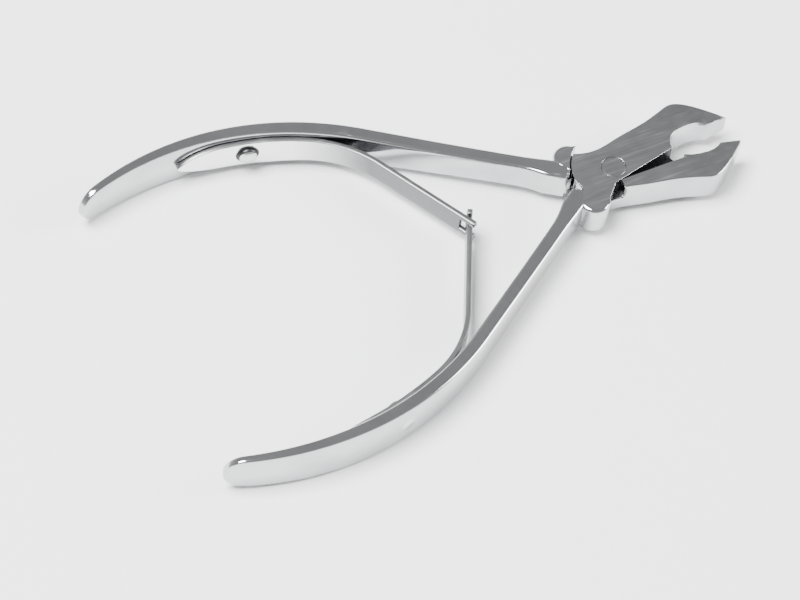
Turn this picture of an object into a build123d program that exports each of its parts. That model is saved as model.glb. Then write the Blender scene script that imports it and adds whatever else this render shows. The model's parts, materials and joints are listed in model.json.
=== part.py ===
from build123d import *
import os
from math import acos, asin, atan2, cos, degrees, hypot, radians, sin, sqrt

# Cuticle nipper with a lap joint and two leaf springs.
# X runs from the handles to the jaws, +Y is the side of the upper handle, +Z is the pivot axis.
# The origin is where the pivot axis leaves the flat underside of the head.
# Each half is drawn with the jaws shut and then turned open by half the opening angle.

# ---- head ----
head_thickness = 5.6        # both lap plates together
plate_radius = 7.0          # round rear end of each lap plate
shoulder_gap = 0.2          # between a lap plate and the other half's shoulder
lap_gap = 0.05              # between the two lapped faces
lap_side_gap = 0.15         # beside the lap line
lap_front = (10.6, 1.4)     # lap line, at the mouth
lap_rear = (-1.5, 2.8)      # lap line, behind the pivot
lap_reach = 1.5             # how far the lap recess runs past the mouth corner
jaw_block_start = 0.3       # rear end of the full-thickness jaw block
collar_radius = 2.6         # shoulder boss that the handle grows from
collar_offset = 7.5         # pivot to the middle of the boss
collar_angle = 148.0
shoulder_lead = 18.0        # degrees from the boss to where the plate's round end starts
round_end_angle = -128.0    # where the round end runs into the waist
waist_slope = 0.55          # of the outline where it leaves the round end
waist = [(-0.8, -4.4), (3.5, -4.75), (9.0, -5.2)]

# ---- jaws ----
jaw_length = 22.6           # pivot to the tips
jaw_tip_width = 0.35        # blunt end of one tip
edge_gap = 0.02             # between the cutting edges when shut
jaw_tip_thickness = 3.0
jaw_taper_start = 11.0
edge_start = 18.9           # cutting edges run from here to the tips
relief_depth = 1.35         # hollow behind each cutting edge
relief_side_depth = 0.84    # depth near the two ends of the hollow
relief_front_run = 1.2      # from the cutting edge to that depth
relief_rear_run = 1.5       # from the lap line to that depth
jaw_bulge = 5.85            # half width of the jaws at their widest
jaw_bulge_at = 12.6
jaw_tip_rake = 1.1          # slope of the jaw's outer side at the tip
jaw_tip_slope = 0.28        # slope of its flat sides there

# ---- opening ----
opening_angle = 12.5        # between fully open and shut
half_open = opening_angle / 2

# ---- handles ----
handle_thickness = 2.6      # of the shank
grip_end_thickness = 1.4    # at the free end
shank_start = (-9.6, 4.5)   # outer face, where the shank leaves the boss
shank_slope = 28.0
shank_length = 30.6
shank_root = 3.6            # how far the shank runs back into the boss
grip_radius = 51.0          # outer face of the bowed grip
grip_sweep = 57.0
root_width = 5.4            # heights of the handle along Z
middle_width = 7.0
grip_width = 8.2
root_overlap = 4.5          # the side outline starts this far behind the pivot
shank_swell = 5.6           # height halfway along the shank
swell_end = 4.0             # the middle height is reached this far past the shank
grip_end_share = 0.8        # height of the round free end, as a share of the grip
round_end_depth = 0.9       # length of the round end, as a share of its half height
end_slope = 0.12            # of the top edge where it meets the round end
handle_round = 0.5

# ---- pivot rivet ----
pivot_diameter = 4.0
pivot_running_gap = 0.03

# ---- leaf springs ----
leaf_thickness = 0.9
leaf_seat_gap = 0.02
leaf_root_width = 5.6
leaf_tip_width = 4.2
leaf_tail_width = 5.2       # just behind the rivet
leaf_tail_slope = 0.9       # of each side at the pointed end
leaf_tail = 13.6            # degrees of the grip behind the rivet
leaf_clamp = 10.6           # degrees of the grip between the rivet and where the leaf lifts off
rivet_angle = 82.8          # place of the rivet on the grip's circle, with the jaws shut
leaf_bend_radius = 20.0
leaf_clamped_bend = 14.3    # part of the bend that stays with the clamped end
knuckle_gap = 0.05
meeting_x = -26.2           # the two leaves hook together here, on the axis

# ---- hook joint of the leaves ----
neck_width = 2.0
neck_gap = 0.15
neck_half_length = 1.25
hook_head = 1.0
fork_reach = 1.2            # prongs past the meeting point
fork_root = 1.6             # slot before the meeting point

# ---- spring rivets ----
rivet_shank = 2.4
rivet_gap = 0.02
rivet_head = 3.8
rivet_head_gap = 0.06       # under the flat head, on the hollow leaf
rivet_head_height = 1.1

mid_z = head_thickness / 2
reach = 60.0                # larger than any width or height that is cut
strip_reach = 6.0           # larger than the thickness of a leaf


def polar(radius, angle, centre=(0.0, 0.0)):
    return (centre[0] + radius * cos(radians(angle)), centre[1] + radius * sin(radians(angle)))


def block(plan, low, high):
    """A plan outline as a solid between two heights."""
    return Pos(0, 0, low) * extrude(plan, amount=high - low)


def side_cut(outline):
    """A closed outline in X and Z as a solid that is long in Y."""
    return extrude(Plane.XZ * outline, amount=reach, both=True)


def ribbon(start, heading, runs, thickness):
    """Plan of a strip: each run is (length, 0) or (radius, turn in degrees)."""
    sides = []
    for side in (1, -1):
        angle = heading
        point = Vector(*start) + Vector(*polar(side * thickness / 2, angle + 90))
        edges = []
        for size, turn in runs:
            if turn == 0:
                edge = Line(point, point + Vector(*polar(size, angle)))
            else:
                bend = 1 if turn > 0 else -1
                edge = JernArc(point, polar(1, angle), size - side * bend * thickness / 2, turn)
            edges.append(edge)
            point = edge @ 1
            angle += turn
        sides.append(edges)
    left, right = sides
    ends = [Line(left[0] @ 0, right[0] @ 0), Line(left[-1] @ 1, right[-1] @ 1)]
    return make_face(Curve() + left + right + ends)


# ---- the handle's lines, with the jaws shut ----
shank_heading = 180 - shank_slope
grip_start = (shank_start[0] + shank_length * cos(radians(shank_heading)),
              shank_start[1] + shank_length * sin(radians(shank_heading)))
grip_centre = polar(grip_radius, shank_heading + 90, grip_start)
grip_end = polar(grip_radius, shank_heading - 90 + grip_sweep, grip_centre)
seat_radius = grip_radius - handle_thickness + \
    (handle_thickness - grip_end_thickness) / (1 - cos(radians(grip_sweep)))
seat_start = polar(handle_thickness, shank_heading + 90, grip_start)
seat_centre = polar(seat_radius, shank_heading + 90, seat_start)


def plate_plan():
    """One lap plate and its jaw, for the half whose jaw is on the -Y side."""
    shoulder_end = polar(plate_radius, collar_angle - shoulder_lead)
    waist_start = polar(plate_radius, round_end_angle)
    tip_outer = (jaw_length, -jaw_tip_width)
    tip = (jaw_length, -edge_gap / 2)
    edge_rear = (edge_start, -edge_gap / 2)
    relief_middle = ((edge_start + lap_front[0]) / 2, -relief_depth)
    relief_front = (edge_start - relief_front_run, -relief_side_depth)
    relief_rear = (lap_front[0] + relief_rear_run, -relief_side_depth)
    outline = Curve() + [
        Line(lap_front, lap_rear),
        Line(lap_rear, shoulder_end),
        ThreePointArc(shoulder_end, (-plate_radius, 0), waist_start),
        Spline([waist_start] + waist + [(jaw_bulge_at, -jaw_bulge), tip_outer],
               tangents=[(1, waist_slope), (1, jaw_tip_rake)]),
        Line(tip_outer, tip),
        Line(tip, edge_rear),
        Spline([edge_rear, relief_front, relief_middle, relief_rear, lap_front]),
    ]
    return make_face(outline)


def lap_recess():
    """Plan of the space that the other half's lap plate sweeps."""
    slope = (lap_front[1] - lap_rear[1]) / (lap_front[0] - lap_rear[0])

    def lap_y(x):
        return -(lap_front[1] + slope * (x - lap_front[0])) - lap_side_gap

    x_end = lap_front[0] + lap_reach
    disc = Circle(plate_radius + shoulder_gap)
    behind = disc & (Pos(jaw_block_start - reach / 2, 0) * Rectangle(reach, reach))
    ahead = make_face(Polyline([
        (jaw_block_start, lap_y(jaw_block_start)), (x_end, lap_y(x_end)),
        (x_end, reach / 2), (jaw_block_start, reach / 2)], close=True))
    return behind + ahead


def jaw_side():
    """Side outline of the head and jaws, which get thinner towards the tips."""
    half = head_thickness / 2
    tip = jaw_tip_thickness / 2
    rear = -reach / 2
    top = [Line((rear, half), (jaw_taper_start, half)),
           Spline([(jaw_taper_start, half), (jaw_length, tip)], tangents=[(1, 0), (1, -jaw_tip_slope)])]
    low = [Line((rear, -half), (jaw_taper_start, -half)),
           Spline([(jaw_taper_start, -half), (jaw_length, -tip)], tangents=[(1, 0), (1, jaw_tip_slope)])]
    ends = [Line((rear, half), (rear, -half)), Line((jaw_length, tip), (jaw_length, -tip))]
    return make_face(Curve() + top + low + ends)


def handle_side():
    """Side outline of a handle: narrow at the joint, broad at the grip, round at the end."""
    cap = grip_width * grip_end_share / 2
    cap_x = grip_end[0] + round_end_depth * cap
    stations = [(-root_overlap, root_width / 2), (grip_start[0] / 2, shank_swell / 2),
                (grip_start[0] - swell_end, middle_width / 2), (grip_centre[0], grip_width / 2),
                (cap_x, cap)]
    below = [(x, -z) for x, z in stations]
    top = Spline(stations, tangents=[(-1, 0), (-1, -end_slope)])
    low = Spline(below, tangents=[(-1, 0), (-1, end_slope)])
    end = ThreePointArc(stations[-1], (grip_end[0], 0), below[-1])
    return make_face(Curve() + [top, end, low, Line(stations[0], below[0])])


def handle():
    """One bowed handle with rounded long edges."""
    faces = []
    for depth, radius in ((0, grip_radius), (handle_thickness, seat_radius)):
        root = polar(-shank_root, shank_heading, polar(depth, shank_heading + 90, shank_start))
        shank = Line(root, polar(shank_root + shank_length, shank_heading, root))
        faces.append([shank, JernArc(shank @ 1, polar(1, shank_heading), radius, grip_sweep)])
    outer, inner = faces
    ends = [Line(outer[0] @ 0, inner[0] @ 0), Line(outer[1] @ 1, inner[1] @ 1)]
    plan = make_face(Curve() + outer + inner + ends)
    bar = block(plan, -grip_width, grip_width) & side_cut(handle_side())
    long_edges = [edge for edge in bar.edges() if edge.length > grip_radius / 3]
    return fillet(long_edges, handle_round)


def half():
    """The half with its handle on +Y, its jaw on -Y and its lap plate below the middle plane."""
    collar = Pos(*polar(collar_offset, collar_angle)) * Circle(collar_radius)
    plan = plate_plan() + collar
    head = block(plan, -head_thickness, head_thickness) & side_cut(jaw_side())
    body = head + handle()
    body -= block(lap_recess(), -lap_gap / 2, head_thickness)
    return body


# ---- the leaf's lines, with the jaws shut ----
leaf_radius = seat_radius - leaf_seat_gap - leaf_thickness / 2
lift_angle = rivet_angle - leaf_clamp
tail_angle = rivet_angle + leaf_tail
hinge_angle = lift_angle - leaf_clamped_bend
bend_centre = polar(-leaf_bend_radius, lift_angle, polar(leaf_radius, lift_angle, seat_centre))
leaf_hinge = polar(leaf_bend_radius, hinge_angle, bend_centre)
meeting = polar(meeting_x, half_open)
to_meeting = (meeting[0] - bend_centre[0], meeting[1] - bend_centre[1])
meeting_distance = hypot(*to_meeting)
straight_angle = degrees(atan2(to_meeting[1], to_meeting[0]) + acos(leaf_bend_radius / meeting_distance))
straight_length = sqrt(meeting_distance ** 2 - leaf_bend_radius ** 2)
straight_heading = straight_angle - 90


def leaf_side():
    """Side outline of a leaf: a pointed tail, broad at the rivet, narrower at the hook."""
    tail_x = polar(leaf_radius, tail_angle, seat_centre)[0]
    rivet_x = polar(leaf_radius, rivet_angle, seat_centre)[0]
    root = leaf_root_width / 2
    tip = leaf_tip_width / 2
    bend_x = polar(leaf_bend_radius, straight_angle, bend_centre)[0]
    stations = [(tail_x, 0), (rivet_x - rivet_head, leaf_tail_width / 2), (rivet_x + rivet_head, root),
                (bend_x, tip), (0, tip)]
    top = [Spline(stations[0:3], tangents=[(1, leaf_tail_slope), (1, 0)]), Polyline(stations[2:])]
    low = [Spline([(x, -z) for x, z in stations[0:3]], tangents=[(1, -leaf_tail_slope), (1, 0)]),
           Polyline([(x, -z) for x, z in stations[2:]])]
    return make_face(Curve() + top + low + [Line((0, tip), (0, -tip))])


def rivet_pin(radius, start, end):
    """A pin on the spring rivet's axis, between two distances outwards from the grip's inner face."""
    seat = polar(seat_radius + start, rivet_angle, seat_centre)
    axis = (*polar(1, rivet_angle), 0)
    plane = Plane(origin=(*seat, 0), x_dir=(0, 0, 1), z_dir=axis)
    return plane * extrude(Circle(radius), amount=end - start)


def rivet_hole():
    """The spring rivet's hole through the leaf and the handle."""
    return rivet_pin(rivet_shank / 2 + rivet_gap, -2 * leaf_thickness, 2 * handle_thickness)


def leaf_clamped():
    """The part of a leaf that lies on the handle, from its tail to where it is free to bend."""
    start = polar(leaf_radius, tail_angle, seat_centre)
    runs = [(leaf_radius, lift_angle - tail_angle), (leaf_bend_radius, -leaf_clamped_bend)]
    plan = ribbon(start, tail_angle - 90, runs, leaf_thickness)
    plan -= Pos(*leaf_hinge) * Circle(leaf_thickness / 2 + knuckle_gap)
    strip = block(plan, -leaf_root_width, leaf_root_width) & side_cut(leaf_side())
    return strip - rivet_hole()


def leaf_blade(past):
    """The free part of a leaf, to a length past the meeting point."""
    runs = [(leaf_bend_radius, straight_angle - hinge_angle), (straight_length + past, 0)]
    plan = ribbon(leaf_hinge, hinge_angle - 90, runs, leaf_thickness)
    plan += Pos(*leaf_hinge) * Circle(leaf_thickness / 2)
    return block(plan, -leaf_root_width, leaf_root_width) & side_cut(leaf_side())


def at_meeting(shape):
    """A shape drawn along X at the meeting point, turned along the leaf."""
    return Pos(*meeting) * Rot(0, 0, straight_heading) * shape


def forked_blade():
    """Ends in two prongs, which straddle the other leaf's neck."""
    slot_length = fork_root + 2 * fork_reach
    slot = Pos(slot_length / 2 - fork_root, 0, 0) * Box(slot_length, strip_reach, neck_width + 2 * neck_gap)
    return leaf_blade(fork_reach) - at_meeting(slot)


def hooked_blade():
    """Ends in a T: a neck through the other leaf's fork, and a cross head behind it."""
    blade = leaf_blade(neck_half_length + hook_head)
    side = leaf_root_width
    for sign in (1, -1):
        notch = Pos(0, 0, sign * (neck_width + side) / 2) * Box(2 * neck_half_length, strip_reach, side)
        blade -= at_meeting(notch)
    return blade


def spring_rivet():
    """Domed head on the leaf, shank through the leaf and the handle, flush outside."""
    head_radius = rivet_head / 2
    dome = (head_radius ** 2 + rivet_head_height ** 2) / (2 * rivet_head_height)
    under_head = -(leaf_seat_gap + leaf_thickness + rivet_head_gap)
    top = under_head - rivet_head_height
    rim = (head_radius, rivet_head_height)
    shoulder = polar(dome, degrees(asin(head_radius / dome)) / 2 - 90, (0, dome))
    profile = Curve() + [Line((0, 0), (0, rivet_head_height)), Line((0, rivet_head_height), rim),
                         ThreePointArc(rim, shoulder, (0, 0))]
    head = revolve(Plane.XZ * make_face(profile), Axis.Z)
    crown = Plane(origin=(*polar(seat_radius + top, rivet_angle, seat_centre), 0),
                  x_dir=(0, 0, 1), z_dir=(*polar(1, rivet_angle), 0))
    outside = Pos(*grip_centre) * Cylinder(grip_radius, reach)
    shank = rivet_pin(rivet_shank / 2, under_head, 2 * handle_thickness) & outside
    return shank + crown * head


def upper(shape):
    """From the shut half to the upper half as it lies open."""
    return Pos(0, 0, mid_z) * Rot(0, 0, -half_open) * shape


def lower(shape):
    """The same half turned over about X makes the lower half."""
    return Pos(0, 0, mid_z) * Rot(0, 0, half_open) * Rot(180, 0, 0) * shape


def pivot_rivet():
    return Cylinder(pivot_diameter / 2, head_thickness, align=(Align.CENTER, Align.CENTER, Align.MIN))


def make_nodes():
    plain = half() - rivet_hole()
    riveted = plain - Cylinder(pivot_diameter / 2, 2 * head_thickness)
    running = plain - Cylinder(pivot_diameter / 2 + pivot_running_gap, 2 * head_thickness)
    return {
        "upper_half": upper(riveted),
        "lower_half": lower(running),
        "pivot_rivet": pivot_rivet(),
        "upper_leaf_clamped_end": upper(leaf_clamped()),
        "upper_leaf_blade": upper(forked_blade()),
        "lower_leaf_clamped_end": lower(leaf_clamped()),
        "lower_leaf_blade": lower(hooked_blade()),
        "upper_spring_rivet": upper(spring_rivet()),
        "lower_spring_rivet": lower(spring_rivet()),
    }


if __name__ == "__main__":
    os.makedirs("parts", exist_ok=True)
    for name, shape in make_nodes().items():
        export_step(shape, f"parts/{name}.step")
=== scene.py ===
import json
from math import acos, atan2, cos, exp, pi, radians, sin, sqrt

import bmesh
import bpy
from mathutils import Matrix, Vector


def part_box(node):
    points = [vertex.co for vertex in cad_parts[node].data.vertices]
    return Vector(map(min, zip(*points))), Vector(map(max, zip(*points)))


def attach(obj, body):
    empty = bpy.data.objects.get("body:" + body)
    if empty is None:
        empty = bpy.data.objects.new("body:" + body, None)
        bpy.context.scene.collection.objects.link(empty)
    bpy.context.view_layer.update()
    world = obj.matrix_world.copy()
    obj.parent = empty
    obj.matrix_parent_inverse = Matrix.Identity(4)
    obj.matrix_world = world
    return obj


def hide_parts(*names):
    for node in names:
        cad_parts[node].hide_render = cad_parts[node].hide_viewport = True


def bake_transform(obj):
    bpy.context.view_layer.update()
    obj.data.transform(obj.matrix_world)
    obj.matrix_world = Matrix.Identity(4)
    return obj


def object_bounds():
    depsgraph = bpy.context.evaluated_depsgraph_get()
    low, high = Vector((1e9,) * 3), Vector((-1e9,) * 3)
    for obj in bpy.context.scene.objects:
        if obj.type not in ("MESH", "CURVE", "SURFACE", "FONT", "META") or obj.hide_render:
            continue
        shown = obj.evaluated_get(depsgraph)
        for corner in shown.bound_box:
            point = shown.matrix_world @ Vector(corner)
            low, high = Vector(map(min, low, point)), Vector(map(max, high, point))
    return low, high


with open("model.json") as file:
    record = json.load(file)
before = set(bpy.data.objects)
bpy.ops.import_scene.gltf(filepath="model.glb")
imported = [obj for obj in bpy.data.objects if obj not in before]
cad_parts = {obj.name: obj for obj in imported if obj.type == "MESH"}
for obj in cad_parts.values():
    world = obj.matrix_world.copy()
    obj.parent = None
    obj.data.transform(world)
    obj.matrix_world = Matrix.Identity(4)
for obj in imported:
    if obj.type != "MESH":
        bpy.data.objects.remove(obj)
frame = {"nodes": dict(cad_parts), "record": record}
cad_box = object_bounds()


# ---- handles -------------------------------------------------------------------------------
# Two bowed bars, drop forged in one with the heads, then buffed to a mirror on a soft wheel.
# Each is narrow and thick where it leaves the head, and broad, thin and round at its free end.

MM = 0.001
hinge = next(j for j in frame["record"]["behaviour"]["joints"] if j["name"] == "jaw_hinge")
mid_plane = hinge["pos_m"][2]
half_open = radians(hinge["range_deg"][1]) / 2

# A half is drawn shut about the pivot, then laid open. The lower one is the same, turned over.
to_middle = Matrix.Translation((0, 0, mid_plane))
laid_open = {
    "upper": to_middle @ Matrix.Rotation(-half_open, 4, "Z"),
    "lower": to_middle @ Matrix.Rotation(half_open, 4, "Z") @ Matrix.Rotation(pi, 4, "X"),
}

shank_start = Vector((-9.6, 4.5)) * MM     # outer face
shank_heading = radians(152)
shank_length = 30.6 * MM
grip_radius = 51.0 * MM                    # outer face
grip_sweep = radians(57)
shank_thickness = 2.6 * MM
end_thickness = 1.4 * MM
root_height = 5.4 * MM
grip_height = 8.2 * MM
end_height = 6.56 * MM
broadest = 0.72                            # share of the length where the grip is full height
round_end = 3.37 * MM                      # length of the round free end
swell_delay = 1.15                         # above 1, the grip swells later
bar_corner = 0.5 * MM                      # rounding of the bar's four long edges
broad_crown = 0.09                         # what the broad faces lose at their edges, as a share
narrow_crown = 0.03                        # of the thickness, and the narrow faces of the height
flare_length = 2.2 * MM                    # the forged fillet at the root: how far it runs out
flare_thickness = 0.9 * MM                 # what it adds to the thickness, and to the height
flare_height = 0.16 * MM
flare_shift = 0.25 * MM                    # towards the inside of the bow
buried = 3.2 * MM                          # the bar starts this far inside the boss
root_step = 0.8 * MM                       # close stations along the flare, then even ones
root_steps = 10
even_steps = 66
round_step = radians(8)                    # stations round the free end
round_steps = 11
sharp_angle = radians(35)                  # an edge steeper than this stays crisp on every piece


def polar(radius, angle, centre=(0, 0)):
    return Vector((centre[0] + radius * cos(angle), centre[1] + radius * sin(angle)))


grip_start = polar(shank_length, shank_heading, shank_start)
grip_centre = polar(grip_radius, shank_heading + pi / 2, grip_start)


def bar_thickness(length):
    """Thickness at a length along the outer face, without the flare at the root."""
    sweep = max(0, length - shank_length) / grip_radius
    thinned = (shank_thickness - end_thickness) * (1 - cos(sweep)) / (1 - cos(grip_sweep))
    return shank_thickness - thinned


def root_flare(length):
    """How far the forged fillet at the root has grown: 1 at the boss, fading along the shank."""
    return exp(-(max(0, length) / flare_length) ** 1.5)


def bar_height(share):
    """Height along Z, which swells to the grip and draws in again before the round end."""
    swell = min(1, share / broadest)
    rise = (swell * swell * (3 - 2 * swell)) ** swell_delay
    draw_in = max(0, (share - broadest) / (1 - broadest)) ** 2
    return root_height + (grip_height - root_height) * rise - (grip_height - end_height) * draw_in


def bar_stations():
    """Places along a handle, each a matrix that puts a unit section there."""
    whole = shank_length + grip_radius * grip_sweep
    lengths = [root_step * step - buried for step in range(root_steps + 1)]
    even = (whole - round_end - lengths[-1]) / even_steps
    lengths += [lengths[-1] + even * step for step in range(1, even_steps + 1)]
    rows = [(length, 1, 1) for length in lengths]
    for step in range(1, round_steps + 1):
        lift = round_step * step
        rows.append((whole - round_end * (1 - sin(lift)), cos(lift), 0.5 + 0.5 * cos(lift) ** 0.5))
    for length, height_share, thickness_share in rows:
        if length < shank_length:
            outer, heading = polar(length, shank_heading, shank_start), shank_heading
        else:
            heading = shank_heading + (length - shank_length) / grip_radius
            outer = polar(grip_radius, heading - pi / 2, grip_centre)
        flare = root_flare(length)
        middle = polar(bar_thickness(length) / 2 + flare_shift * flare, heading + pi / 2, outer)
        thickness = bar_thickness(length) + flare_thickness * flare
        height = bar_height(max(0, length) / whole) * height_share + flare_height * flare
        yield (Matrix.Translation((middle.x, middle.y, 0)) @ Matrix.Rotation(heading, 4, "Z")
               @ Matrix.Diagonal((1, thickness * thickness_share, height, 1)))


def finished(name, bm, body, slot, materials, flats=False):
    """Makes the piece from its mesh, smooth but for its real edges, and puts it on its body."""
    mesh = bpy.data.meshes.new(name)
    bm.to_mesh(mesh)
    bm.free()
    for material in materials:
        mesh.materials.append(material)
    mesh.shade_smooth()
    mesh.set_sharp_from_angle(angle=sharp_angle)
    piece = bpy.data.objects.new(name, mesh)
    bpy.context.scene.collection.objects.link(piece)
    if flats:                               # keeps the flats true beside their rounded edges
        weighted = piece.modifiers.new("true flats", "WEIGHTED_NORMAL")
        weighted.keep_sharp, weighted.weight = True, 100
    if body:
        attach(piece, body)
    return piece


class Amount:
    """A number that changes over a surface, and can be used in sums."""

    def __init__(self, finish, socket):
        self.finish, self.socket = finish, socket

    def sum(self, operation, other, turned=False):
        pair = (other, self) if turned else (self, other)
        return self.finish.node("ShaderNodeMath", {"operation": operation}, dict(enumerate(pair)))

    def __add__(self, other):
        return self.sum("ADD", other)

    def __radd__(self, other):
        return self.sum("ADD", other, True)

    def __sub__(self, other):
        return self.sum("SUBTRACT", other)

    def __rsub__(self, other):
        return self.sum("SUBTRACT", other, True)

    def __mul__(self, other):
        return self.sum("MULTIPLY", other)

    def __rmul__(self, other):
        return self.sum("MULTIPLY", other, True)


class Finish:
    """A surface finish: one Principled shader, and one method that makes every other node."""

    def __init__(self, name, **constants):
        self.material = bpy.data.materials.new(name)
        self.material.use_nodes = True
        self.tree = self.material.node_tree
        self.shader = self.tree.nodes["Principled BSDF"]
        self.give(self.shader, constants)

    def give(self, node, values):
        for name, value in values.items():
            socket = node.inputs[name.replace("_", " ") if isinstance(name, str) else name]
            if isinstance(value, Amount):
                self.tree.links.new(value.socket, socket)
            else:
                socket.default_value = value

    def node(self, kind, settings, values, output=0):
        made = self.tree.nodes.new(kind)
        for name, value in settings.items():
            setattr(made, name, value)
        self.give(made, values)
        return Amount(self, made.outputs[output])

    def noise(self, grain, detail=3.0, roughness=0.6, turn=(0, 0, 0)):
        """Noise with a grain per metre along each axis of the piece."""
        here = self.node("ShaderNodeTexCoord", {}, {}, "Object")
        there = self.node("ShaderNodeMapping", {}, {"Vector": here, "Rotation": turn, "Scale": grain})
        return self.node("ShaderNodeTexNoise", {}, {"Vector": there, "Scale": 1.0, "Detail": detail,
                                                    "Roughness": roughness})

    def ramp(self, amount, low, high):
        """Two stops, each a place along the amount and the grey it turns into."""
        ramped = self.node("ShaderNodeValToRGB", {}, {"Fac": amount})
        for stop, (place, shade) in zip(ramped.socket.node.color_ramp.elements, (low, high)):
            stop.position, stop.color = place, (shade, shade, shade, 1)
        return ramped

    def mixed(self, amount, first, second):
        return self.node("ShaderNodeMix", {"data_type": "RGBA"},
                         {"Factor": amount, 6: (*first, 1), 7: (*second, 1)}, 2)

    def bump(self, height, strength, depth):
        return self.node("ShaderNodeBump", {},
                         {"Height": height, "Strength": strength, "Distance": depth})

    def feed(self, **values):
        self.give(self.shader, values)
        return self.material


def mirror_steel():
    """Buffed stainless steel: hairlines from the wheel, wiped smears and a few duller patches."""
    steel = Finish("mirror_steel", Metallic=1.0)
    smears = steel.noise((90, 90, 140), 4.0)
    patches = steel.ramp(smears, (0.42, 0.0), (0.72, 1.0))
    hairlines = steel.noise((220, 220, 3600), 2.0, 0.6)
    strays = steel.noise((300, 300, 4600), 1.0, 0.6, (0.25, 0.1, 0))
    scratches = steel.ramp(strays, (0.66, 0.0), (0.74, 1.0))
    wave = steel.noise((160, 160, 60), 1.0)
    return steel.feed(
        Base_Color=steel.mixed(patches, (0.54, 0.545, 0.555), (0.44, 0.445, 0.46)),
        Roughness=0.055 + patches * 0.06 + hairlines * 0.05 + scratches * 0.08,
        Normal=steel.bump(hairlines * 0.15 + scratches * 0.2 + wave, 0.08, 0.00006))


mirror = mirror_steel()


def bar(side):
    """A rounded section, drawn ring by ring through the stations and closed at both ends."""
    bm = bmesh.new()
    bmesh.ops.create_grid(bm, x_segments=1, y_segments=1, size=0.5)
    bmesh.ops.scale(bm, vec=(shank_thickness, grip_height, 1), verts=bm.verts)
    bmesh.ops.bevel(bm, geom=bm.verts, offset=bar_corner, segments=5, profile=0.5,
                    affect="VERTICES", material=-1)
    broad = [edge for edge in bm.edges if edge.calc_length() > grip_height / 2]
    narrow = [edge for edge in bm.edges if bar_corner < edge.calc_length() < grip_height / 2]
    bmesh.ops.subdivide_edges(bm, edges=broad, cuts=9)
    bmesh.ops.subdivide_edges(bm, edges=narrow, cuts=3)
    for vert in bm.verts:
        vert.co.x *= 1 - broad_crown * (2 * vert.co.y / grip_height) ** 2
        vert.co.y *= 1 - narrow_crown * (2 * vert.co.x / shank_thickness) ** 2
    bmesh.ops.scale(bm, vec=(1 / shank_thickness, 1 / grip_height, 1), verts=bm.verts)
    # stands the section up across the bar: its thickness along Y, its height along Z
    upright = Matrix(((0, 0, 1, 0), (1, 0, 0, 0), (0, 1, 0, 0), (0, 0, 0, 1)))
    bmesh.ops.transform(bm, matrix=upright, verts=bm.verts)
    stations = list(bar_stations())
    bmesh.ops.transform(bm, matrix=stations[0], verts=bm.verts)
    ring = [edge for edge in bm.edges if edge.is_boundary]
    for before, after in zip(stations, stations[1:]):
        made = bmesh.ops.extrude_edge_only(bm, edges=ring)["geom"]
        points = {item for item in made if isinstance(item, bmesh.types.BMVert)}
        ring = [item for item in made
                if isinstance(item, bmesh.types.BMEdge) and points.issuperset(item.verts)]
        bmesh.ops.transform(bm, matrix=after @ before.inverted(), verts=list(points))
    bmesh.ops.contextual_create(bm, geom=ring)
    bmesh.ops.transform(bm, matrix=laid_open[side], verts=bm.verts)
    bmesh.ops.recalc_face_normals(bm, faces=bm.faces)
    return finished(side + "_handle", bm, side + "_half", "polished_steel", [mirror])


handles = {side: bar(side) for side in laid_open}


# ---- heads ---------------------------------------------------------------------------------
# Each forged half ends in a boss, a half-lapped plate and a jaw. The flats are ground on a
# belt, which leaves a satin grain along the tool, and the rest is buffed with the handle.

def ground_steel():
    """Belt-ground steel: a straight fine grain, cloudy where the belt pressed harder."""
    steel = Finish("ground_steel", Metallic=1.0)
    grain = steel.noise((120, 3000, 3000), 2.0, 0.6)
    clouds = steel.noise((240, 240, 240), 3.0, 0.5)
    deep = steel.ramp(steel.noise((160, 4200, 4200), 1.0, 0.5), (0.60, 0.0), (0.72, 1.0))
    return steel.feed(
        Base_Color=steel.mixed(clouds, (0.26, 0.263, 0.27), (0.32, 0.323, 0.33)),
        Roughness=0.24 + grain * 0.12 + clouds * 0.06 + deep * 0.08,
        Normal=steel.bump(grain - deep * 0.5, 0.16, 0.00004))


def painted_shade_steel():
    """Near-black painted shade for the lap's sliding faces, never buffed and dull, and the rivets'
    rims.
    """
    steel = Finish("painted_shade_steel", Metallic=1.0)
    # the base colour is painted shade, mottled a little
    shade_mottle = steel.noise((500, 500, 500), 4.0)
    return steel.feed(
        Base_Color=steel.mixed(shade_mottle, (0.03, 0.03, 0.032), (0.09, 0.09, 0.093)),
        Roughness=0.34 + shade_mottle * 0.16,
        Normal=steel.bump(shade_mottle, 0.15, 0.00004))


ground = ground_steel()
painted_shade = painted_shade_steel()
boss_centre = polar(7.5 * MM, radians(148))
boss_radius = 2.6 * MM
plate_radius = 7.0 * MM
near_boss = 1.06 * boss_radius             # the boss's rim lies within this of its middle,
off_plate = plate_radius + 0.5 * MM        # and further than this from the pivot
plate_reach = plate_radius + 0.06 * MM     # the plate's outline lies within this
stub = 0.15 * MM                           # of the handle, kept on the head past its boss
plate_end = -1.8                           # in mm from the pivot, as the next eleven are
mouth_start = 11.2
taper_start = 16.0                         # past this the outline draws in towards the tip
tip_start = 20.5
bare_tip = 21.8                            # past this the rims are left sharp
below_side = -3.0                          # the outline lies below these: first the side's,
below_taper = -1.4                         # then the taper's and the tip's
below_tip = -0.2
lap_start = -2.0
lap_half_width = 3.1
lap_level = 0.2                            # the sliding faces lie this near the middle plane
pin_hole = 2.3
boss_rounding = 0.70 * MM
outline_rounding = 0.24 * MM
edge_break = 0.05 * MM                     # on every other rim, so that it isn't razor sharp
flat_lean = 0.9                            # a face is a flat if its normal has more of Z than this,
side_lean = 0.4                            # a side if it has less than this,
wall_lean = 0.3                            # and it can be a wall of the lap below this
weld = 0.001 * MM                          # points nearer than this are one
sliver = 0.00002 * MM                      # the bevels leave a few edges shorter than this


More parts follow.
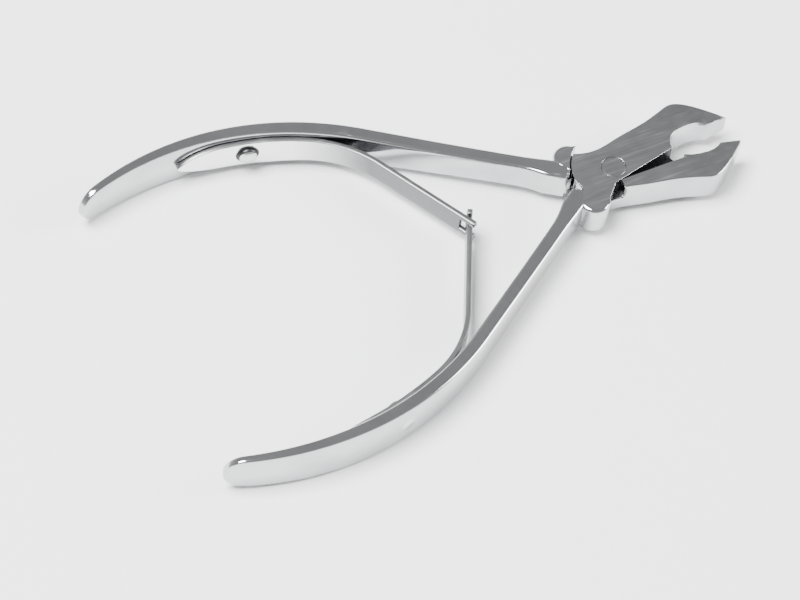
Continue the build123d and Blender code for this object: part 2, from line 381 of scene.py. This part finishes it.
def rims_a_flat(edge):
    """An outer edge between a ground flat and a side that stands up from it."""
    if len(edge.link_faces) != 2 or not edge.is_convex or edge.calc_face_angle() < radians(50):
        return False
    leans = sorted(abs(face.normal.z) for face in edge.link_faces)
    return leans[0] < side_lean and leans[1] > flat_lean


def outside(at):
    """True on the half's outline, but not along its lap line, its mouth or its cutting edge."""
    x, y = at.x / MM, at.y / MM
    if x < plate_end:
        return at.xy.length < plate_reach
    return (y < below_side or (x > taper_start and y < below_taper)
            or (x > tip_start and y < below_tip))


def in_the_lap(face):
    """True for the sliding face and the walls beside the lap line."""
    at = face.calc_center_median() / MM
    if abs(face.normal.z) > flat_lean:
        return abs(at.z) < lap_level
    beside = lap_start < at.x < mouth_start and abs(at.y) < lap_half_width
    return beside and abs(face.normal.z) < wall_lean and at.xy.length > pin_hole


def on_the_boss(at):
    return (at.xy - boss_centre).length < near_boss and at.xy.length > off_plate


def short_of_the_tip(at):
    return at.x < bare_tip * MM


def head(side):
    """The design's own half, cut off past the boss, with its rims rounded and its lap painted dark as
    shade.
    """
    bm = bmesh.new()
    bm.from_mesh(frame["nodes"][side + "_half"].data)
    bmesh.ops.remove_doubles(bm, verts=bm.verts, dist=weld)
    bmesh.ops.transform(bm, matrix=laid_open[side].inverted(), verts=bm.verts)
    cut = polar(boss_radius + stub, shank_heading, boss_centre)
    away = polar(1, shank_heading)
    everything = bm.verts[:] + bm.edges[:] + bm.faces[:]
    made = bmesh.ops.bisect_plane(bm, geom=everything, plane_co=(*cut, 0), plane_no=(*away, 0),
                                  clear_outer=True)
    rim = [item for item in made["geom_cut"] if isinstance(item, bmesh.types.BMEdge)]
    bmesh.ops.contextual_create(bm, geom=rim)
    bmesh.ops.dissolve_limit(bm, angle_limit=radians(0.25), verts=bm.verts, edges=bm.edges)
    bmesh.ops.recalc_face_normals(bm, faces=bm.faces)
    for face in bm.faces:
        face.material_index = 1 if abs(face.normal.z) > flat_lean else 0
    for offset, segments, chosen in ((boss_rounding, 5, on_the_boss), (outline_rounding, 4, outside),
                                     (edge_break, 2, short_of_the_tip)):
        edges = [edge for edge in bm.edges if rims_a_flat(edge)
                 and all(chosen(vert.co) for vert in edge.verts)]
        bmesh.ops.bevel(bm, geom=edges, offset=offset, segments=segments, profile=0.5, affect="EDGES",
                        material=0)
    bmesh.ops.dissolve_degenerate(bm, edges=bm.edges, dist=sliver)
    # the lap's sliding face and the walls beside the lap line get painted shade
    for face in bm.faces:
        if in_the_lap(face):
            face.material_index = 2
    bmesh.ops.transform(bm, matrix=laid_open[side], verts=bm.verts)
    bmesh.ops.recalc_face_normals(bm, faces=bm.faces)
    piece = finished(side + "_head", bm, side + "_half", "polished_steel", [mirror, ground, painted_shade],
                     flats=True)
    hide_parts(side + "_half")
    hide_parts(side + "_half")


for side in laid_open:
    head(side)


# ---- pivot ---------------------------------------------------------------------------------
# A plain steel pin through both plates. It is riveted over and then ground flush with the
# flats, so that only a hairline shows round it.

pin_low, pin_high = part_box("pivot_rivet")
pin_radius = (pin_high[0] - pin_low[0]) / 2


def turned(name, profile, body, slot, materials, axis_place):
    """A piece turned on a lathe: profile points are (radius, height)."""
    bm = bmesh.new()
    points = [bm.verts.new((radius, 0, height)) for radius, height in profile]
    for first, second in zip(points, points[1:]):
        bm.edges.new((first, second))
    bmesh.ops.spin(bm, geom=bm.verts[:] + bm.edges[:], cent=(0, 0, 0), axis=(0, 0, 1), angle=2 * pi,
                   steps=64, use_merge=True)
    bmesh.ops.remove_doubles(bm, verts=bm.verts, dist=weld)
    bmesh.ops.transform(bm, matrix=axis_place, verts=bm.verts)
    bmesh.ops.recalc_face_normals(bm, faces=bm.faces)
    return finished(name, bm, body, slot, materials)


chamfer = 0.08 * MM
thick = pin_high[2] - pin_low[2]
pivot = turned("pivot", [(0, 0), (pin_radius - chamfer, 0), (pin_radius, chamfer),
                         (pin_radius, thick - chamfer), (pin_radius - chamfer, thick), (0, thick)],
               "upper_half", "rivet_steel", [ground], Matrix.Translation((0, 0, pin_low[2])))
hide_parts("pivot_rivet")


# ---- leaf springs --------------------------------------------------------------------------
# Two hardened strips, riveted to the grips inside. They lift off the grips in a bow, run to
# the middle and hook there: a T on the lower leaf passes through a fork in the upper one.

leaf_thickness = 0.9 * MM
seat_gap = 0.02 * MM
rivet_angle = radians(82.8)
tail_angle = rivet_angle + radians(13.6)
lift_angle = rivet_angle - radians(10.6)
bow_radius = 20.0 * MM
leaf_width = 5.6 * MM
hook_width = 4.2 * MM
tail_length = 8.2 * MM                     # the pointed stretch behind the rivet
rivet_length = 7.0 * MM                    # the broad stretch at the rivet
fork_half_slot = 1.15 * MM
neck_half_width = 1.0 * MM
fork_depth = 1.6 * MM                      # back and forwards from where the leaves meet
fork_prong = 1.2 * MM
neck_reach = 1.25 * MM
bar_reach = 2.25 * MM                      # the far side of the T's bar
edge_rounding = 0.18 * MM
lift_off = 46                              # mm behind the pivot, where the strip's painted highlight gives way to painted shade
meeting = polar(-26.2 * MM, half_open)

seat_radius = grip_radius - shank_thickness + (shank_thickness - end_thickness) / (1 - cos(grip_sweep))
seat_centre = polar(shank_thickness + seat_radius, shank_heading + pi / 2, grip_start)
leaf_radius = seat_radius - seat_gap - leaf_thickness / 2
bow_centre = polar(leaf_radius - bow_radius, lift_angle, seat_centre)
reach = meeting - bow_centre
straight_angle = atan2(reach.y, reach.x) + acos(bow_radius / reach.length)
straight_run = sqrt(reach.length ** 2 - bow_radius ** 2)
seat_run = leaf_radius * (tail_angle - lift_angle)
bow_run = bow_radius * (lift_angle - straight_angle)
hook_at = seat_run + bow_run + straight_run


def leaf_place(along, across):
    """A point of the leaf, across being outwards from the bow."""
    if along < seat_run:
        return polar(leaf_radius + across, tail_angle - along / leaf_radius, seat_centre)
    if along < seat_run + bow_run:
        return polar(bow_radius + across, lift_angle - (along - seat_run) / bow_radius, bow_centre)
    corner = polar(bow_radius + across, straight_angle, bow_centre)
    return polar(along - seat_run - bow_run, straight_angle - pi / 2, corner)


def leaf_half_width(along):
    """Pointed at the tail, broad under the rivet, then drawn in to the hook."""
    if along < tail_length:
        return leaf_width / 2 * (0.04 + 0.90 * (1 - (1 - along / tail_length) ** 2) ** 0.72)
    past_tail = along - tail_length
    if past_tail < rivet_length:
        return leaf_width / 2 * (0.94 + 0.06 * past_tail / rivet_length)
    drawn = min(1, (past_tail - rivet_length) / (seat_run + bow_run - tail_length - rivet_length))
    return (leaf_width * (1 - drawn) + hook_width * drawn) / 2


def spring_steel():
    """Rolled spring strip: fine drawn lines, a painted highlight on the grip, painted shade along its
    free run.
    """
    steel = Finish("spring_strip", Metallic=1.0)
    lines = steel.noise((160, 160, 4200), 2.0, 0.6)
    clouds = steel.noise((150, 150, 150), 3.0)
    here = steel.node("ShaderNodeTexCoord", {}, {}, "Object")
    past_lift = steel.node("ShaderNodeSeparateXYZ", {}, {"Vector": here}) * (1 / MM) + lift_off
    # how far along the free run, which takes painted shade and more roughness
    free = steel.ramp(past_lift * 0.1 + clouds * 0.3 - 0.15, (0.0, 0.0), (1.0, 1.0))
    return steel.feed(
        # the base colour: a painted highlight on the grip, painted shade on the free run
        Base_Color=steel.mixed(free, (0.86, 0.86, 0.865), (0.16, 0.162, 0.167)),
        Roughness=0.11 + lines * 0.10 + free * 0.10,
        Normal=steel.bump(lines, 0.14, 0.00005))


strip = spring_steel()
columns = 110                              # cells along a leaf
clear_of_stop = 0.25 * MM                  # but none this near to where a cut starts or ends


def leaf(side):
    """A grid laid along the leaf, its slot or the sides of its neck cut away, then thickened."""
    bm = bmesh.new()
    forked = side == "upper"
    slot = fork_half_slot if forked else neck_half_width
    last = hook_at + (fork_prong if forked else bar_reach)
    stops = [hook_at - fork_depth] if forked else [hook_at - neck_reach, hook_at + neck_reach]
    even = [last * step / columns for step in range(columns + 1)]
    places = sorted(stops + [place for place in even
                             if all(abs(place - stop) > clear_of_stop for stop in stops)])
    shares = [-1, -0.78, -2 * slot / hook_width, -0.2, 0.2, 2 * slot / hook_width, 0.78, 1]
    long_cells, cross_cells = len(places) - 1, len(shares) - 1
    bmesh.ops.create_grid(bm, x_segments=long_cells, y_segments=cross_cells, size=0.5)
    waste = []
    for face in bm.faces:
        at = face.calc_center_median()
        row, strand = int((at.x + 0.5) * long_cells), int((at.y + 0.5) * cross_cells)
        beyond = (places[row] + places[row + 1]) / 2
        inside = abs(shares[strand] + shares[strand + 1]) / 2 < 2 * slot / hook_width
        if forked:
            cut_away = inside and beyond > stops[0]
        else:
            cut_away = not inside and stops[0] < beyond < stops[1]
        if cut_away:
            waste.append(face)
    for vert in bm.verts:
        along = places[round((vert.co.x + 0.5) * long_cells)]
        share = shares[round((vert.co.y + 0.5) * cross_cells)]
        vert.co = (*leaf_place(along, -leaf_thickness / 2), share * leaf_half_width(along))
    bmesh.ops.delete(bm, geom=waste, context="FACES")
    bmesh.ops.recalc_face_normals(bm, faces=bm.faces)
    outward = next(iter(bm.faces)).normal.dot(Vector((*polar(1, tail_angle), 0)))
    wall = leaf_thickness if outward < 0 else -leaf_thickness
    bmesh.ops.solidify(bm, geom=bm.faces[:], thickness=wall)
    bmesh.ops.recalc_face_normals(bm, faces=bm.faces)
    edges = [edge for edge in bm.edges if edge.is_manifold and edge.calc_face_angle() > radians(50)]
    bmesh.ops.bevel(bm, geom=edges, offset=edge_rounding, segments=3, profile=0.5, affect="EDGES",
                    material=-1)
    for face in bm.faces:                   # the sheared edges are dressed on the belt
        if abs(face.normal.z) > 0.5:
            face.material_index = 1
    bmesh.ops.transform(bm, matrix=laid_open[side], verts=bm.verts)
    bmesh.ops.recalc_face_normals(bm, faces=bm.faces)
    piece = finished(side + "_leaf_spring", bm, None, "spring_steel", [strip, ground])
    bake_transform(piece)
    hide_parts(side + "_leaf_clamped_end", side + "_leaf_blade")


for side in laid_open:
    leaf(side)


# ---- spring rivets -------------------------------------------------------------------------
# A steel rivet holds each leaf to its grip. Its head is domed on the inside with a snap, and
# its other end is filed flush with the outside of the grip.

dome_radius = 1.62 * MM
burr_radius = 1.95 * MM
# inside this the rivet keeps its own bright steel, outside it is painted shade
bright_radius = 1.40 * MM
dome_height = 1.1 * MM
rivet_shank = 1.2 * MM
burr_height = 0.09 * MM                    # the leaf's metal, pushed up round the head
lip = 0.18 * MM                            # the straight rim under the dome
proud = 0.03 * MM                          # what stands off the leaf, and off the grip's outside
crown_step = radians(9)
crown_steps = 10


def rivet_steel():
    """Bright turned steel, faintly marked by the snap that domed it."""
    steel = Finish("rivet_steel_bright", Metallic=1.0)
    marks = steel.noise((2500, 2500, 2500), 3.0)
    return steel.feed(
        Base_Color=steel.mixed(marks, (0.70, 0.70, 0.71), (0.56, 0.565, 0.58)),
        Roughness=0.10 + marks * 0.12,
        Normal=steel.bump(marks, 0.10, 0.00004))


bright = rivet_steel()


def spring_rivet(side):
    under = leaf_thickness + seat_gap + proud
    shoulder = under + burr_height
    dome = dome_height - burr_height - lip
    crown = [(dome_radius * sin(crown_step * step), -shoulder - lip - dome * cos(crown_step * step))
             for step in range(crown_steps + 1)]
    on_seat = polar(seat_radius, rivet_angle, seat_centre)
    depth = grip_radius - (on_seat - grip_centre).length + proud
    profile = crown + [(dome_radius, -shoulder - 0.06 * MM), (dome_radius - 0.07 * MM, -shoulder),
                       (burr_radius - 0.05 * MM, -under - 0.6 * burr_height), (burr_radius, -under),
                       (rivet_shank, -under), (rivet_shank, depth - 0.05 * MM),
                       (rivet_shank - 0.08 * MM, depth), (0, depth)]
    outwards = Vector((*polar(1, rivet_angle), 0))
    place = (laid_open[side] @ Matrix.Translation((*on_seat, 0))
             @ outwards.to_track_quat("Z", "Y").to_matrix().to_4x4())
    piece = turned(side + "_spring_rivet_head", profile, side + "_half", "rivet_steel",
                   [bright, painted_shade], place)
    back = place.inverted()
    for face in piece.data.polygons:
        at = back @ face.center
        if at.xy.length > bright_radius:    # the steep rim gets painted shade, a dark ring round the head
            face.material_index = 1
    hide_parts(side + "_spring_rivet")


for side in laid_open:
    spring_rivet(side)


# ---- floor, light and camera ---------------------------------------------------------------
# The tool lies on a pale matt table, in a light tent that is bright low down and greyer
# overhead, with two softboxes. The camera looks down on it from the lower handle's side.

low, high = (Vector(corner) for corner in cad_box)
middle = (low + high) / 2

bm = bmesh.new()
bmesh.ops.create_grid(bm, x_segments=1, y_segments=1, size=3.0)
bmesh.ops.translate(bm, verts=bm.verts, vec=(0, 0, low.z - 0.02 * MM))
pale = Finish("pale_table", Roughness=0.6)
patches = pale.noise((25, 25, 25))
matt = pale.feed(Base_Color=pale.mixed(patches, (0.93, 0.935, 0.94), (0.91, 0.915, 0.92)))
finished("table", bm, None, None, [matt])


def softbox(name, place, width, depth, power):
    light = bpy.data.lights.new(name, "AREA")
    light.shape, light.size, light.size_y, light.energy = "RECTANGLE", width, depth, power
    stand = bpy.data.objects.new(name, light)
    stand.location = place
    stand.rotation_euler = (middle - Vector(place)).to_track_quat("-Z", "Y").to_euler()
    bpy.context.scene.collection.objects.link(stand)


softbox("key", (-0.35, 0.10, 0.80), 0.45, 0.45, 27)
softbox("side", (0.75, -0.25, 0.40), 0.5, 0.35, 11)

tent = bpy.data.worlds.new("tent")
tent.use_nodes = True
nodes, links = tent.node_tree.nodes, tent.node_tree.links
upward = nodes.new("ShaderNodeSeparateXYZ")
shades = nodes.new("ShaderNodeValToRGB")
links.new(nodes.new("ShaderNodeTexCoord").outputs["Generated"], upward.inputs[0])
links.new(upward.outputs["Z"], shades.inputs[0])
links.new(shades.outputs[0], nodes["Background"].inputs["Color"])
for place, shade in ((0.16, 0.85), (0.40, 0.56), (0.62, 0.44)):
    shades.color_ramp.elements.new(place).color = (shade, shade, shade * 1.01, 1)
shades.color_ramp.elements[0].color = (1, 1, 1, 1)
shades.color_ramp.elements[-1].color = (0.42, 0.425, 0.43, 1)
bpy.context.scene.world = tent

roll = radians(8.2)
lens = bpy.data.cameras.new("camera")
lens.lens = 204
lens.clip_start = 0.05
camera = bpy.data.objects.new("camera", lens)
camera.location = Vector((-270.7, -359.9, 589.2)) * MM
aim = middle + Vector((-12.6, -8.5, 0)) * MM
looking = (aim - camera.location).to_track_quat("-Z", "Y").to_matrix()
camera.rotation_euler = (looking @ Matrix.Rotation(roll, 3, "Z")).to_euler()
bpy.context.scene.collection.objects.link(camera)
bpy.context.scene.camera = camera
